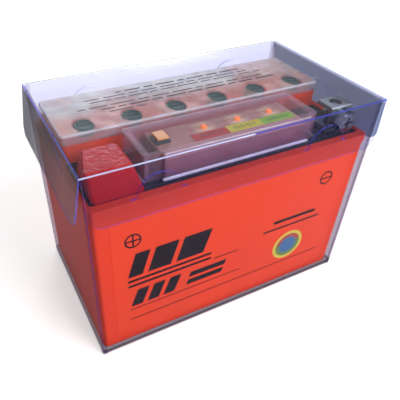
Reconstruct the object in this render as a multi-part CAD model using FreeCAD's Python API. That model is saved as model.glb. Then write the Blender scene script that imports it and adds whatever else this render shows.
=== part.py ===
import FreeCAD, Part
import math
import os
from FreeCAD import Vector

# A 12 volt sealed motorcycle battery in its clear lift-off box, in millimetres.
# Origin: centre of the box's underside. +X along the front to the viewer's right, +Y to the back, +Z up.
os.makedirs("parts", exist_ok=True)

# Battery, overall. What stands on its lid is a little to the right of the middle.
battery_width = 150.0
battery_depth = 85.0
battery_height = 105.0
top_offset = 1.3

# Clear folding box
sheet = 0.5
side_gap = 0.7
front_gap = 1.5
rear_gap = 0.3
headspace = 6.1
flap_gap = 0.3
flap_depth = 25.3
side_flare = 9.5
front_flare = 3.0
flap_end_inset = 0.4
flap_taper = 1.6
flap_corner = 6.5
tray_corner = 1.2
slit_radius = 10.4
slit_width = 0.4
slit_foot = 2.6
slit_inset = 32.2
slit_drop = 16.8

# Jar and its cells
top_rise = 17.2
jar_inset = 0.4
jar_wall = 2.2
jar_floor = 2.5
jar_corner = 3.0
jar_bottom_round = 2.0
cell_count = 6
partition = 1.6
rib_height = 1.2
rib_width = 2.0
weld_width = 6.0

# Plates, mats and lead work
positive_per_cell = 4
negative_per_cell = 5
positive_plate_thickness = 1.7
negative_plate_thickness = 1.3
lug_width = 10.0
lug_height = 7.0
lug_inset = 12.0
mat_overhang = 0.8
mat_end_gap = 1.1
stack_slack = 0.1
strap_depth = 12.0
strap_height = 4.0
strap_headroom = 3.1
strap_side_gap = 1.0
post_radius = 4.0
post_gap = 0.05

# Case lid
rim_rise = 4.1
rim_front = 4.5
rim_side = 2.6
rim_round = 0.5
lid_corner = 3.0
trough_corner = 1.5
trough_floor = 1.8
sealant_depth = 1.5
sealant_gap = 0.05
platform_setback = 39.5
platform_rear_inset = 6.6
platform_inset = 2.4
platform_rise = 10.3
platform_wall = 2.0
platform_corner = 2.5
ridge_depth = 16.4
ridge_rise = 1.8
pocket_gap = 1.8
boss_radius = 2.8
boss_height = 1.4
boss_inset = 9.0

# Vent plugs, their seals and valves
plug_pitch_drop = 0.5
plug_setback = 49.2
plug_radius = 5.2
plug_head = 3.9
plug_chamfer = 0.5
plug_rim = 1.2
dish_depth = 0.7
coin_slot_width = 1.4
coin_slot_depth = 0.9
shank_radius = 4.4
shank_length = 8.5
shank_wall = 1.0
shank_fit = 0.05
well_wall = 2.0
well_floor = 1.8
seal_thickness = 0.9
seal_width = 0.6
nozzle_radius = 1.9
nozzle_bore = 0.9
nozzle_height = 3.0
valve_wall = 1.1
valve_fit = 0.05
valve_lift = 0.3

# Clear covers on the battery's top
cover_wall = 1.4
cover_top = 1.0
cover_edge = 0.7
ridge_clearance = 0.2
front_cover_cap_gap = 1.5
front_cover_terminal_gap = 9.2
front_cover_setback = 11.4
front_cover_rear_gap = 3.1
front_cover_drop = 0.2
bay_inset_left = 8.6
bay_inset_right = 5.4
bay_depth = 2.3
front_cover_wall = 1.2
front_cover_corner = 1.0
front_cover_edge = 0.35
foot_width = 0.6
foot_height = 0.8

# Voltage indicator
housing_gap = 0.5
housing_wall = 1.2
housing_rear_gap = 1.3
board_thickness = 1.4
board_drop = 2.1
board_corner = 1.2
chip_length = 9.9
chip_width = 3.9
chip_height = 1.5
scale_inset_left = 18.1
scale_inset_right = 1.5
scale_setback = 16.8
scale_width = 5.8
scale_thickness = 0.2
scale_count = 3
led_radius = 1.5
led_height = 1.4
led_chamfer = 0.5
led_setback = 9.6
button_inset = 3.9
button_back = 24.6
button_width = 5.6
button_length = 6.6
button_thickness = 0.95
button_travel = 0.8
button_hole_gap = 1.2
button_round = 0.3
switch_size = 7.2
switch_height = 1.2
stem_size = 3.0
stem_fit = 0.1
stem_spare = 0.1

# Terminals and their fasteners
positive_inset = 13.7
negative_inset = 11.1
terminal_setback = 11.0
terminal_width = 13.4
terminal_depth = 10.8
terminal_drop = 0.3
terminal_plate = 2.0
terminal_round = 1.0
clearance_hole = 3.25
nut_gap = 0.25
nut_thickness = 4.0
nut_hole = 3.0
bolt_fit = 0.07
bolt_length = 12.0
bolt_head_height = 3.4
bolt_head_flats = 10.0
bolt_chamfer = 0.6
bolt_chamfer_slope = 1.8
cross_length = 6.4
cross_width = 1.1
cross_depth = 1.4
washer_radius = 6.0
washer_thickness = 1.0
washer_bore = 3.3
lock_radius = 5.2
lock_thickness = 1.4
lock_split = 1.0

# Slip-on cap over the positive terminal
cap_wall = 1.0
cap_rise = 1.2
cap_floor_gap = 0.3
cap_shoulder = 1.2
cap_corner = 2.2
cap_base_left = 2.9
cap_base_right = 7.7
cap_base_front = 5.5
cap_base_back = 6.6
cap_top_left = 5.3
cap_top_right = 2.6
cap_top_front = 4.7
cap_top_back = 3.9
cap_skew = 5.0

# Heights and faces that the sizes above fix
battery_bottom = sheet
battery_top = battery_bottom + battery_height
tray_half_x = battery_width / 2 + side_gap + sheet
tray_half_y = (battery_depth + front_gap + rear_gap) / 2 + sheet
tray_top = battery_top + headspace
slit_height = tray_top - slit_drop
box_half_x = tray_half_x + flap_gap + sheet
box_half_y = tray_half_y + flap_gap + sheet
box_top = tray_top + sheet
battery_front = sheet + front_gap - tray_half_y
battery_back = battery_front + battery_depth
battery_middle = (battery_front + battery_back) / 2
battery_half = battery_width / 2
jar_top = battery_top - top_rise
jar_half = battery_half - jar_inset
cell_front = battery_front + jar_inset + jar_wall
cell_back = battery_back - jar_inset - jar_wall
cell_floor = battery_bottom + jar_floor
cell_pitch = (2 * (jar_half - jar_wall) + partition) / cell_count
cell_width = cell_pitch - partition
cell_middles = [cell_pitch * (i - (cell_count - 1) / 2) for i in range(cell_count)]
plate_half = (cell_back - cell_front) / 2 - mat_end_gap - mat_overhang
lug_offset = plate_half - lug_inset
plate_bottom = cell_floor + rib_height
strap_top = jar_top - strap_headroom
strap_bottom = strap_top - strap_height
plate_top = strap_bottom - lug_height
rim_top = jar_top + rim_rise
trough_bottom = jar_top + trough_floor
sealant_top = trough_bottom + sealant_depth
trough_half = battery_half - rim_side
trough_front = battery_front + rim_front
platform_front = battery_front + platform_setback
platform_back = battery_back - platform_rear_inset
platform_half = battery_half - platform_inset
platform_top = jar_top + platform_rise
ridge_top = platform_top + ridge_rise
ridge_back = platform_front + ridge_depth
plug_pitch = cell_pitch - plug_pitch_drop
plug_middles = [top_offset + plug_pitch * (i - (cell_count - 1) / 2) for i in range(cell_count)]
plug_y = battery_front + plug_setback
well_radius = shank_radius + shank_fit
well_bottom = jar_top + well_floor
terminal_top = battery_top - terminal_drop
terminal_front = battery_front + terminal_setback
terminal_back = terminal_front + terminal_depth
terminal_middle_z = (sealant_top + terminal_top) / 2
positive_x = positive_inset - battery_half
negative_x = battery_half - negative_inset
post_y = (terminal_front + terminal_back) / 2
bay_front = battery_front + front_cover_setback - bay_depth
front_cover_left = positive_x + terminal_width / 2 + cap_base_right + front_cover_cap_gap
front_cover_right = negative_x - terminal_width / 2 - front_cover_terminal_gap
front_cover_back = platform_front - front_cover_rear_gap
front_cover_top = battery_top - front_cover_drop
board_top = front_cover_top - front_cover_wall - board_drop
board_bottom = board_top - board_thickness
housing_inset = front_cover_wall + housing_gap
housing_left = front_cover_left + bay_inset_left + housing_inset
housing_right = front_cover_right - bay_inset_right - housing_inset
housing_front = bay_front + housing_inset
housing_back = front_cover_back - housing_inset - housing_rear_gap
scale_left = housing_left + scale_inset_left
scale_step = (housing_right - scale_inset_right - scale_left) / scale_count
button_x = housing_left + button_inset
button_y = battery_front + button_back


def box(x0, x1, y0, y1, z0, z1):
    return Part.makeBox(x1 - x0, y1 - y0, z1 - z0, Vector(x0, y0, z0))


def upright(x, y, z0, z1, radius):
    return Part.makeCylinder(radius, z1 - z0, Vector(x, y, z0))


def along_y(x, z, y0, y1, radius):
    return Part.makeCylinder(radius, y1 - y0, Vector(x, y0, z), Vector(0, 1, 0))


def rounded_wire(corners, radii):
    # Straight sides joined by tangent arcs. A radius of 0 leaves the corner sharp.
    count = len(corners)
    starts = []
    ends = []
    arcs = []
    for i in range(count):
        corner = corners[i]
        back = (corners[i - 1] - corner).normalize()
        ahead = (corners[(i + 1) % count] - corner).normalize()
        if radii[i] <= 0:
            starts.append(corner)
            ends.append(corner)
            arcs.append(None)
            continue
        half = back.getAngle(ahead) / 2
        reach = radii[i] / math.tan(half)
        start = corner + back * reach
        end = corner + ahead * reach
        inward = (back + ahead).normalize()
        middle = corner + inward * (radii[i] / math.sin(half) - radii[i])
        starts.append(start)
        ends.append(end)
        arcs.append(Part.Arc(start, middle, end).toShape())
    edges = []
    for i in range(count):
        if arcs[i]:
            edges.append(arcs[i])
        edges.append(Part.LineSegment(ends[i], starts[(i + 1) % count]).toShape())
    return Part.Wire(edges)


def prism(corners, radii, z0, z1):
    wire = rounded_wire([Vector(x, y, z0) for x, y in corners], radii)
    return Part.Face(wire).extrude(Vector(0, 0, z1 - z0))


def rounded_box(x0, x1, y0, y1, z0, z1, radius):
    return prism([(x0, y0), (x1, y0), (x1, y1), (x0, y1)], [radius] * 4, z0, z1)


def edges_at_height(shape, z):
    found = []
    for edge in shape.Edges:
        bounds = edge.BoundBox
        if abs(bounds.ZMin - z) < 1e-4 and abs(bounds.ZMax - z) < 1e-4:
            found.append(edge)
    return found


def fuse(shapes):
    joined = shapes[0]
    for shape in shapes[1:]:
        joined = joined.fuse(shape)
    return joined.removeSplitter()


def export(shape, name):
    shape.exportStep("parts/" + name + ".step")
    print(name, round(shape.Volume, 2), shape.isValid(), len(shape.Solids))


# Tray of the clear box: one folded sheet, with half-moon slits that leave finger tabs
def half_moon(x, y0, y1):
    # A half ring with a short foot at each end, cut right through the wall along Y.
    inner = slit_radius - slit_width / 2
    outer = slit_radius + slit_width / 2
    ring = along_y(x, slit_height, y0, y1, outer).cut(along_y(x, slit_height, y0, y1, inner))
    ring = ring.common(box(x - outer, x + outer, y0, y1, slit_height, slit_height + outer))
    left = box(x - outer - slit_foot, x - inner, y0, y1, slit_height, slit_height + slit_width)
    right = box(x + inner, x + outer + slit_foot, y0, y1, slit_height, slit_height + slit_width)
    return fuse([ring, left, right])


def build_box_tray():
    outer = rounded_box(-tray_half_x, tray_half_x, -tray_half_y, tray_half_y, 0, tray_top, tray_corner)
    inner_x = tray_half_x - sheet
    inner_y = tray_half_y - sheet
    inner = rounded_box(-inner_x, inner_x, -inner_y, inner_y, sheet, tray_top + 1, tray_corner - sheet)
    tray = outer.cut(inner)
    for side in (-1, 1):
        wall = sorted((side * (tray_half_y + 1), side * (inner_y - 1)))
        for end in (-1, 1):
            tray = tray.cut(half_moon(end * (tray_half_x - slit_inset), wall[0], wall[1]))
        wall = sorted((side * (tray_half_x + 1), side * (inner_x - 1)))
        slit = half_moon(0, wall[0], wall[1])
        slit.rotate(Vector(0, 0, 0), Vector(0, 0, 1), -90)
        tray = tray.cut(slit)
    return tray


# Lift-off lid: a flat top with four flaps that flare out a little below their folds
def hanging_flap(half_length, flare):
    # Built on the front side, with its fold along X at the origin, then leaned outwards.
    top = half_length - flap_end_inset
    bottom = top - flap_taper
    corners = [Vector(-top, 0, 0), Vector(-bottom, 0, -flap_depth), Vector(bottom, 0, -flap_depth),
               Vector(top, 0, 0)]
    flap = Part.Face(rounded_wire(corners, [0, flap_corner, flap_corner, 0]))
    flap = flap.extrude(Vector(0, sheet, 0))
    flap.rotate(Vector(0, 0, 0), Vector(1, 0, 0), -flare)
    return flap


def build_box_lid():
    pieces = [box(-box_half_x, box_half_x, -box_half_y, box_half_y, tray_top, box_top)]
    for turn, half_length, reach, flare in ((0, box_half_x, box_half_y, front_flare),
                                            (90, box_half_y, box_half_x, side_flare),
                                            (180, box_half_x, box_half_y, front_flare),
                                            (270, box_half_y, box_half_x, side_flare)):
        flap = hanging_flap(half_length, flare)
        flap.translate(Vector(0, -reach, box_top))
        flap.rotate(Vector(0, 0, 0), Vector(0, 0, 1), turn)
        pieces.append(flap)
    return fuse(pieces)


# Jar: six cells in one moulding, with rests under the plates and a window in each partition
def build_battery_case():
    front = battery_front + jar_inset
    back = battery_back - jar_inset
    jar = rounded_box(-jar_half, jar_half, front, back, battery_bottom, jar_top, jar_corner)
    jar = jar.makeFillet(jar_bottom_round, edges_at_height(jar, battery_bottom))
    for x in cell_middles:
        cell = box(x - cell_width / 2, x + cell_width / 2, cell_front, cell_back, cell_floor, jar_top + 1)
        for y in (-lug_offset, lug_offset):
            rest = battery_middle + y
            cell = cell.cut(box(x - cell_width, x + cell_width, rest - rib_width / 2, rest + rib_width / 2,
                                cell_floor - 1, plate_bottom))
        jar = jar.cut(cell)
    for i in range(cell_count - 1):
        x = (cell_middles[i] + cell_middles[i + 1]) / 2
        y = lug_side(i, False)
        jar = jar.cut(box(x - partition, x + partition, y - weld_width / 2, y + weld_width / 2,
                          strap_bottom, strap_top))
    return jar


# Plate groups: positive and negative plates by turns, with a glass mat in every gap
def lug_side(cell, positive):
    # Neighbouring cells are turned end for end, so each joins the next straight through the partition.
    front = (cell % 2 == 0) == positive
    return battery_middle + (-lug_offset if front else lug_offset)


def mat_thickness():
    plates = positive_per_cell * positive_plate_thickness + negative_per_cell * negative_plate_thickness
    return (cell_width - 2 * stack_slack - plates) / (positive_per_cell + negative_per_cell - 1)


def plate(x0, thickness, lug_y):
    body = box(x0, x0 + thickness, battery_middle - plate_half, battery_middle + plate_half, plate_bottom,
               plate_top)
    lug = box(x0, x0 + thickness, lug_y - lug_width / 2, lug_y + lug_width / 2, plate_top, strap_bottom)
    return fuse([body, lug])


def build_plate_groups():
    positives = []
    negatives = []
    mats = []
    half = plate_half + mat_overhang
    for cell, middle in enumerate(cell_middles):
        x = middle - cell_width / 2 + stack_slack
        for i in range(positive_per_cell + negative_per_cell):
            if i % 2 == 0:
                negatives.append(plate(x, negative_plate_thickness, lug_side(cell, False)))
                x += negative_plate_thickness
            else:
                positives.append(plate(x, positive_plate_thickness, lug_side(cell, True)))
                x += positive_plate_thickness
            if i < positive_per_cell + negative_per_cell - 1:
                mats.append(box(x, x + mat_thickness(), battery_middle - half, battery_middle + half,
                                plate_bottom, plate_top))
                x += mat_thickness()
    return Part.makeCompound(positives), Part.makeCompound(negatives), Part.makeCompound(mats)


def strap(middle, y):
    half = cell_width / 2 - strap_side_gap
    return box(middle - half, middle + half, y - strap_depth / 2, y + strap_depth / 2, strap_bottom, strap_top)


def build_cell_connectors():
    links = []
    for i in range(cell_count - 1):
        y = lug_side(i, False)
        weld = box(cell_middles[i], cell_middles[i + 1], y - weld_width / 2, y + weld_width / 2,
                   strap_bottom, strap_top)
        links.append(fuse([strap(cell_middles[i], y), weld, strap(cell_middles[i + 1], y)]))
    return Part.makeCompound(links)


def build_post(x, cell, positive):
    stem = upright(x, post_y, strap_bottom, sealant_top, post_radius)
    return fuse([strap(cell_middles[cell], lug_side(cell, positive)), stem])


# Lid moulding: rim, sunk terminal trough, raised platform with plug wells and pockets under it
def build_case_lid():
    lid = rounded_box(-battery_half, battery_half, battery_front, battery_back, jar_top, rim_top, lid_corner)
    lid = lid.makeFillet(rim_round, edges_at_height(lid, rim_top))
    trough = rounded_box(-trough_half, trough_half, trough_front, platform_front, trough_bottom, rim_top + 1,
                         trough_corner)
    lid = lid.cut(trough)
    platform = rounded_box(-platform_half, platform_half, platform_front, platform_back, jar_top, platform_top,
                           platform_corner)
    ridge = rounded_box(-platform_half, platform_half, platform_front, platform_back, jar_top, ridge_top,
                        platform_corner)
    ridge = ridge.common(box(-battery_half, battery_half, platform_front, ridge_back, jar_top, ridge_top))
    lid = fuse([lid, platform, ridge])
    for middle, plug_x in zip(cell_middles, plug_middles):
        half = cell_pitch / 2 - pocket_gap
        pocket = box(middle - half, middle + half, platform_front + platform_wall,
                     platform_back - platform_wall, jar_top - 1, platform_top - platform_wall)
        pocket = pocket.cut(upright(plug_x, plug_y, jar_top, platform_top, well_radius + well_wall))
        lid = lid.cut(pocket)
        well = upright(plug_x, plug_y, well_bottom, ridge_top + 1, well_radius)
        nozzle = upright(plug_x, plug_y, well_bottom, well_bottom + nozzle_height, nozzle_radius)
        lid = lid.cut(well.cut(nozzle))
        lid = lid.cut(upright(plug_x, plug_y, jar_top - 1, well_bottom + nozzle_height + 1, nozzle_bore))
        groove = well_radius + seal_width + 2 * shank_fit
        lid = lid.cut(upright(plug_x, plug_y, ridge_top - seal_thickness, ridge_top + 1, groove))
    for x in (positive_x, negative_x):
        lid = lid.cut(upright(x, post_y, jar_top - 1, trough_bottom + 1, post_radius + post_gap))
    boss_x = -platform_half + boss_inset
    boss_y = ridge_back + boss_radius + cover_wall
    lid = fuse([lid, upright(boss_x, boss_y, platform_top - 1, platform_top + boss_height, boss_radius)])
    return lid


def build_sealant():
    gap = sealant_gap
    sealant = rounded_box(-trough_half + gap, trough_half - gap, trough_front + gap, platform_front - gap,
                          trough_bottom, sealant_top, trough_corner)
    for x in (positive_x, negative_x):
        sealant = sealant.cut(upright(x, post_y, trough_bottom - 1, sealant_top + 1, post_radius + post_gap))
    return sealant


# Vent plug: dished head with a coin slot, over a hollow shank that turns in its well
def build_vent_plug(x):
    head_top = ridge_top + plug_head
    head = upright(x, plug_y, ridge_top, head_top, plug_radius)
    head = head.makeChamfer(plug_chamfer, edges_at_height(head, head_top))
    head = head.cut(upright(x, plug_y, head_top - dish_depth, head_top + 1, plug_radius - plug_rim))
    reach = plug_radius - plug_rim
    slot_bottom = head_top - dish_depth - coin_slot_depth
    slot = box(x - reach, x + reach, plug_y - coin_slot_width / 2, plug_y + coin_slot_width / 2, slot_bottom,
               head_top + 1)
    head = head.cut(slot.common(upright(x, plug_y, slot_bottom, head_top, reach)))
    shank = upright(x, plug_y, ridge_top - shank_length, ridge_top, shank_radius)
    plug = fuse([head, shank])
    hollow_top = ridge_top - shank_wall
    return plug.cut(upright(x, plug_y, ridge_top - shank_length - 1, hollow_top, shank_radius - shank_wall))


def build_plug_seals():
    rings = []
    inner = well_radius + shank_fit
    for x in plug_middles:
        ring = upright(x, plug_y, ridge_top - seal_thickness, ridge_top, inner + seal_width)
        rings.append(ring.cut(upright(x, plug_y, ridge_top - seal_thickness - 1, ridge_top + 1, inner)))
    return Part.makeCompound(rings)


def build_valve_caps():
    cups = []
    inner = nozzle_radius + valve_fit
    for x in plug_middles:
        ceiling = well_bottom + nozzle_height
        cup = upright(x, plug_y, well_bottom + valve_lift, ceiling + valve_wall, inner + valve_wall)
        cups.append(cup.cut(upright(x, plug_y, well_bottom, ceiling, inner)))
    return Part.makeCompound(cups)


# Clear cover over the vent plugs: an open-bottomed shell that stands on the platform
def build_vent_cover():
    cover = rounded_box(-platform_half, platform_half, platform_front, platform_back, platform_top, battery_top,
                        platform_corner)
    cover = cover.makeFillet(cover_edge, edges_at_height(cover, battery_top))
    inner = rounded_box(-platform_half + cover_wall, platform_half - cover_wall, platform_front + cover_wall,
                        platform_back - cover_wall, platform_top - 1, battery_top - cover_top,
                        platform_corner - cover_wall)
    step = box(-battery_half, battery_half, platform_front - 1, ridge_back + ridge_clearance,
               platform_top - 1, ridge_top)
    return cover.cut(inner).cut(step)


# Clear cover over the voltage indicator: a shell with a shallow bay along its front
def bay_outline(inset):
    left = front_cover_left + inset
    right = front_cover_right - inset
    side_front = bay_front + bay_depth + inset
    front = bay_front + inset
    bay_left = front_cover_left + bay_inset_left + inset
    bay_right = front_cover_right - bay_inset_right - inset
    back = front_cover_back - inset
    return [(left, side_front), (bay_left, side_front), (bay_left, front), (bay_right, front),
            (bay_right, side_front), (right, side_front), (right, back), (left, back)]


def button_hole(grow, z0, z1):
    half_x = button_width / 2 + grow
    half_y = button_length / 2 + grow
    return box(button_x - half_x, button_x + half_x, button_y - half_y, button_y + half_y, z0, z1)


def build_indicator_cover():
    corner = front_cover_corner
    outer_radii = [corner, corner / 2, corner, corner, corner / 2, corner, corner, corner]
    cover = prism(bay_outline(0), outer_radii, sealant_top, front_cover_top)
    cover = cover.makeChamfer(front_cover_edge, edges_at_height(cover, front_cover_top))
    foot = prism(bay_outline(-foot_width), outer_radii, sealant_top, sealant_top + foot_height)
    inner = prism(bay_outline(front_cover_wall), [0] * 8, sealant_top - 1, front_cover_top - front_cover_wall)
    cover = fuse([cover, foot]).cut(inner)
    return cover.cut(button_hole(button_hole_gap, board_top, front_cover_top + 1))


# Voltage indicator: open housing, printed board, chip, lamps, colour scale and test button
def housing_outline(z0, z1):
    return rounded_box(housing_left, housing_right, housing_front, housing_back, z0, z1, board_corner)


def build_indicator_housing():
    wall = housing_wall
    inner = box(housing_left + wall, housing_right - wall, housing_front + wall, housing_back - wall,
                sealant_top + wall, board_bottom + 1)
    return housing_outline(sealant_top, board_bottom).cut(inner)


def build_indicator_board():
    return housing_outline(board_bottom, board_top)


def build_indicator_chip():
    x = (housing_left + housing_right) / 2
    y = (housing_front + housing_back) / 2
    return box(x - chip_length / 2, x + chip_length / 2, y - chip_width / 2, y + chip_width / 2,
               board_bottom - chip_height, board_bottom)


def build_voltage_scale():
    front = battery_front + scale_setback
    strips = []
    for i in range(scale_count):
        x = scale_left + scale_step * i
        strips.append(box(x, x + scale_step, front, front + scale_width, board_top, board_top + scale_thickness))
    return Part.makeCompound(strips)


def build_indicator_lamps():
    lamps = []
    y = battery_front + scale_setback + led_setback
    for i in range(scale_count):
        lamp = upright(scale_left + scale_step * (i + 0.5), y, board_top, board_top + led_height, led_radius)
        lamps.append(lamp.makeChamfer(led_chamfer, edges_at_height(lamp, board_top + led_height)))
    return Part.makeCompound(lamps)


def build_test_switch():
    half = switch_size / 2
    well = stem_size / 2 + stem_fit
    block = box(button_x - half, button_x + half, button_y - half, button_y + half, board_top,
                board_top + switch_height)
    return block.cut(box(button_x - well, button_x + well, button_y - well, button_y + well, board_top,
                         board_top + switch_height + 1))


def build_test_button():
    cap_bottom = board_top + switch_height + button_travel + stem_spare
    cap = button_hole(0, cap_bottom, cap_bottom + button_thickness)
    cap = cap.makeFillet(button_round, edges_at_height(cap, cap_bottom + button_thickness))
    half = stem_size / 2
    stem = box(button_x - half, button_x + half, button_y - half, button_y + half,
               board_top + button_travel + stem_spare, cap_bottom)
    return fuse([cap, stem])


# Terminals: folded blocks, open at the back and sides, each holding a square nut
def build_terminal(x):
    half = terminal_width / 2
    block = box(x - half, x + half, terminal_front, terminal_back, sealant_top, terminal_top)
    front_edges = [edge for edge in edges_at_height(block, terminal_top)
                   if abs(edge.BoundBox.YMax - terminal_front) < 1e-4]
    block = block.makeFillet(terminal_round, front_edges)
    block = block.cut(box(x - half - 1, x + half + 1, terminal_front + terminal_plate, terminal_back + 1,
                          sealant_top + terminal_plate, terminal_top - terminal_plate))
    block = block.cut(along_y(x, terminal_middle_z, terminal_front - 1, terminal_front + terminal_plate + 1,
                              clearance_hole))
    return block.cut(upright(x, post_y, terminal_top - terminal_plate - 1, terminal_top + 1, clearance_hole))


def build_terminal_nuts():
    nuts = []
    half = (terminal_top - sealant_top) / 2 - terminal_plate - nut_gap
    front = terminal_front + terminal_plate
    for x in (positive_x, negative_x):
        nut = box(x - half, x + half, front, front + nut_thickness, terminal_middle_z - half,
                  terminal_middle_z + half)
        nuts.append(nut.cut(along_y(x, terminal_middle_z, front - 1, front + nut_thickness + 1, nut_hole)))
    return Part.makeCompound(nuts)


def build_flat_washer():
    front = terminal_front - washer_thickness
    disc = along_y(negative_x, terminal_middle_z, front, terminal_front, washer_radius)
    return disc.cut(along_y(negative_x, terminal_middle_z, front - 1, terminal_front + 1, washer_bore))


def build_lock_washer():
    x = negative_x
    back = terminal_front - washer_thickness
    front = back - lock_thickness
    ring = along_y(x, terminal_middle_z, front, back, lock_radius)
    ring = ring.cut(along_y(x, terminal_middle_z, front - 1, back + 1, washer_bore))
    return ring.cut(box(x - lock_split / 2, x + lock_split / 2, front - 1, back + 1, terminal_middle_z,
                        terminal_middle_z + lock_radius + 1))


def build_negative_bolt():
    x = negative_x
    z = terminal_middle_z
    seat = terminal_front - washer_thickness - lock_thickness
    front = seat - bolt_head_height
    circle = bolt_head_flats / math.sqrt(3)
    corners = [Vector(x + circle * math.cos(math.radians(60 * i)), front,
                      z + circle * math.sin(math.radians(60 * i))) for i in range(6)]
    head = Part.Face(rounded_wire(corners, [0] * 6)).extrude(Vector(0, bolt_head_height, 0))
    rounding = Part.makeCone(circle - bolt_chamfer, circle - bolt_chamfer + bolt_head_height * bolt_chamfer_slope,
                             bolt_head_height, Vector(x, front, z), Vector(0, 1, 0))
    head = head.common(rounding)
    for long_x, long_z in ((cross_length, cross_width), (cross_width, cross_length)):
        head = head.cut(box(x - long_x / 2, x + long_x / 2, front - 1, front + cross_depth, z - long_z / 2,
                            z + long_z / 2))
    shank = along_y(x, z, seat, seat + bolt_length, nut_hole - bolt_fit)
    return fuse([head, shank])


# Red slip-on cap: tapered, a little askew, open below
def cap_section(inset, z, share, corner):
    # share runs from 0 at the open end to 1 at the closed top.
    x = positive_x
    half = terminal_width / 2
    left = x - half - cap_base_left - share * (cap_top_left - cap_base_left) + inset
    right = x + half + cap_base_right + share * (cap_top_right - cap_base_right) - inset
    front = terminal_front - cap_base_front - share * (cap_top_front - cap_base_front) + inset
    back = terminal_back + cap_base_back + share * (cap_top_back - cap_base_back) - inset
    corners = [Vector(left, front, z), Vector(right, front, z), Vector(right, back, z),
               Vector(left + share * cap_skew, back, z)]
    return rounded_wire(corners, [corner] * 4)


def build_positive_cap():
    bottom = sealant_top + cap_floor_gap
    top = terminal_top + cap_rise
    shoulder = top - cap_shoulder
    near = (shoulder - bottom) / (top - bottom)
    corner = cap_corner
    outer = Part.makeLoft([cap_section(0, bottom, 0, corner), cap_section(0, shoulder, near, corner)], True, True)
    crown = Part.makeLoft([cap_section(0, shoulder, near, corner),
                           cap_section(cap_shoulder, top, 1, corner - cap_shoulder)], True, True)
    ceiling = top - cap_wall
    inner = Part.makeLoft([cap_section(cap_wall, bottom - 1, 0, 0), cap_section(cap_wall, ceiling, near, 0)],
                          True, True)
    return fuse([outer, crown]).cut(inner)


export(build_box_tray(), "box_tray")
export(build_box_lid(), "box_lid")
export(build_battery_case(), "battery_case")
positive_plates, negative_plates, separators = build_plate_groups()
export(positive_plates, "positive_plates")
export(negative_plates, "negative_plates")
export(separators, "separators")
export(build_cell_connectors(), "cell_connectors")
export(build_post(positive_x, 0, True), "positive_post")
export(build_post(negative_x, cell_count - 1, False), "negative_post")
export(build_case_lid(), "case_lid")
export(build_sealant(), "terminal_sealant")
for number, plug_x in enumerate(plug_middles, 1):
    export(build_vent_plug(plug_x), "vent_plug_" + str(number))
export(build_plug_seals(), "plug_seals")
export(build_valve_caps(), "valve_caps")
export(build_vent_cover(), "vent_cover")
export(build_indicator_cover(), "indicator_cover")
export(build_indicator_housing(), "indicator_housing")
export(build_indicator_board(), "indicator_board")
export(build_indicator_chip(), "indicator_chip")
export(build_voltage_scale(), "voltage_scale")
export(build_indicator_lamps(), "indicator_lamps")
export(build_test_switch(), "test_switch")
export(build_test_button(), "test_button")
export(build_terminal(positive_x), "positive_terminal")
export(build_terminal(negative_x), "negative_terminal")
export(build_terminal_nuts(), "terminal_nuts")
export(build_flat_washer(), "flat_washer")
export(build_lock_washer(), "lock_washer")
export(build_negative_bolt(), "negative_bolt")
export(build_positive_cap(), "positive_cap")
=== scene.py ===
import bpy
import bmesh
import math
from mathutils import Matrix, Vector


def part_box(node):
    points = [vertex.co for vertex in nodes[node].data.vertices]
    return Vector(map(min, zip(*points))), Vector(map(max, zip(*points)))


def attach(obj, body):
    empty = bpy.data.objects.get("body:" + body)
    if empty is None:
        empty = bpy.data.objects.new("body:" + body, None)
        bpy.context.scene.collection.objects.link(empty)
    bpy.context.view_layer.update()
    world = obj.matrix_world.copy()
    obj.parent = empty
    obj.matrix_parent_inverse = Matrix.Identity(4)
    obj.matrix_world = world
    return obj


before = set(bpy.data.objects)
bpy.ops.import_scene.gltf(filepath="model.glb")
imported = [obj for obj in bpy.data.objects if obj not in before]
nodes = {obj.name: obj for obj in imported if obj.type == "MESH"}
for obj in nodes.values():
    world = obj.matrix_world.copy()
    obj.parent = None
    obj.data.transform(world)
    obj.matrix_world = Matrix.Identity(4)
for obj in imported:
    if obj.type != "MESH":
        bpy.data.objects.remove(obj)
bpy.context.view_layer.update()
millimetre = 0.001


# Floor, backdrop, lamps and camera.
# A plain white studio floor under the battery, a soft lamp in front of it to the right, and a low soft
# lamp behind it that gives the clear lid its glare.
scene = bpy.context.scene
scene.view_settings.view_transform = "Standard"
scene.cycles.transparent_max_bounces = 48

camera_place = Vector((-0.1086, -0.1764, 0.2071))
camera_azimuth = math.radians(-28.09)
camera_elevation = math.radians(39.55)
camera_roll = math.radians(1.56)
backwards = Vector((math.sin(camera_azimuth) * math.cos(camera_elevation),
                    -math.cos(camera_azimuth) * math.cos(camera_elevation),
                    math.sin(camera_elevation)))
level_right = Vector((0, 0, 1)).cross(backwards).normalized()
level_up = backwards.cross(level_right)
right = level_right * math.cos(camera_roll) + level_up * math.sin(camera_roll)
up = level_up * math.cos(camera_roll) - level_right * math.sin(camera_roll)
camera_data = bpy.data.cameras.new("photo_camera")
camera_data.lens = 40.69
camera_data.sensor_width = 36
camera_data.shift_x = 0.0675
camera_data.shift_y = 0.0273
camera_data.clip_start = 0.01
camera = bpy.data.objects.new("photo_camera", camera_data)
camera.matrix_world = Matrix.Translation(camera_place) @ Matrix((right, up, backwards)).transposed().to_4x4()
scene.collection.objects.link(camera)
scene.camera = camera


def add_lamp(name, place, target, width, height, watts, colour, shape="RECTANGLE"):
    data = bpy.data.lights.new(name, "AREA")
    data.shape = shape
    data.size = width
    data.size_y = height
    data.energy = watts
    data.color = colour
    lamp = bpy.data.objects.new(name, data)
    aim = Vector(target) - Vector(place)
    lamp.matrix_world = Matrix.Translation(place) @ aim.to_track_quat("-Z", "Y").to_matrix().to_4x4()
    scene.collection.objects.link(lamp)


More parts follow.
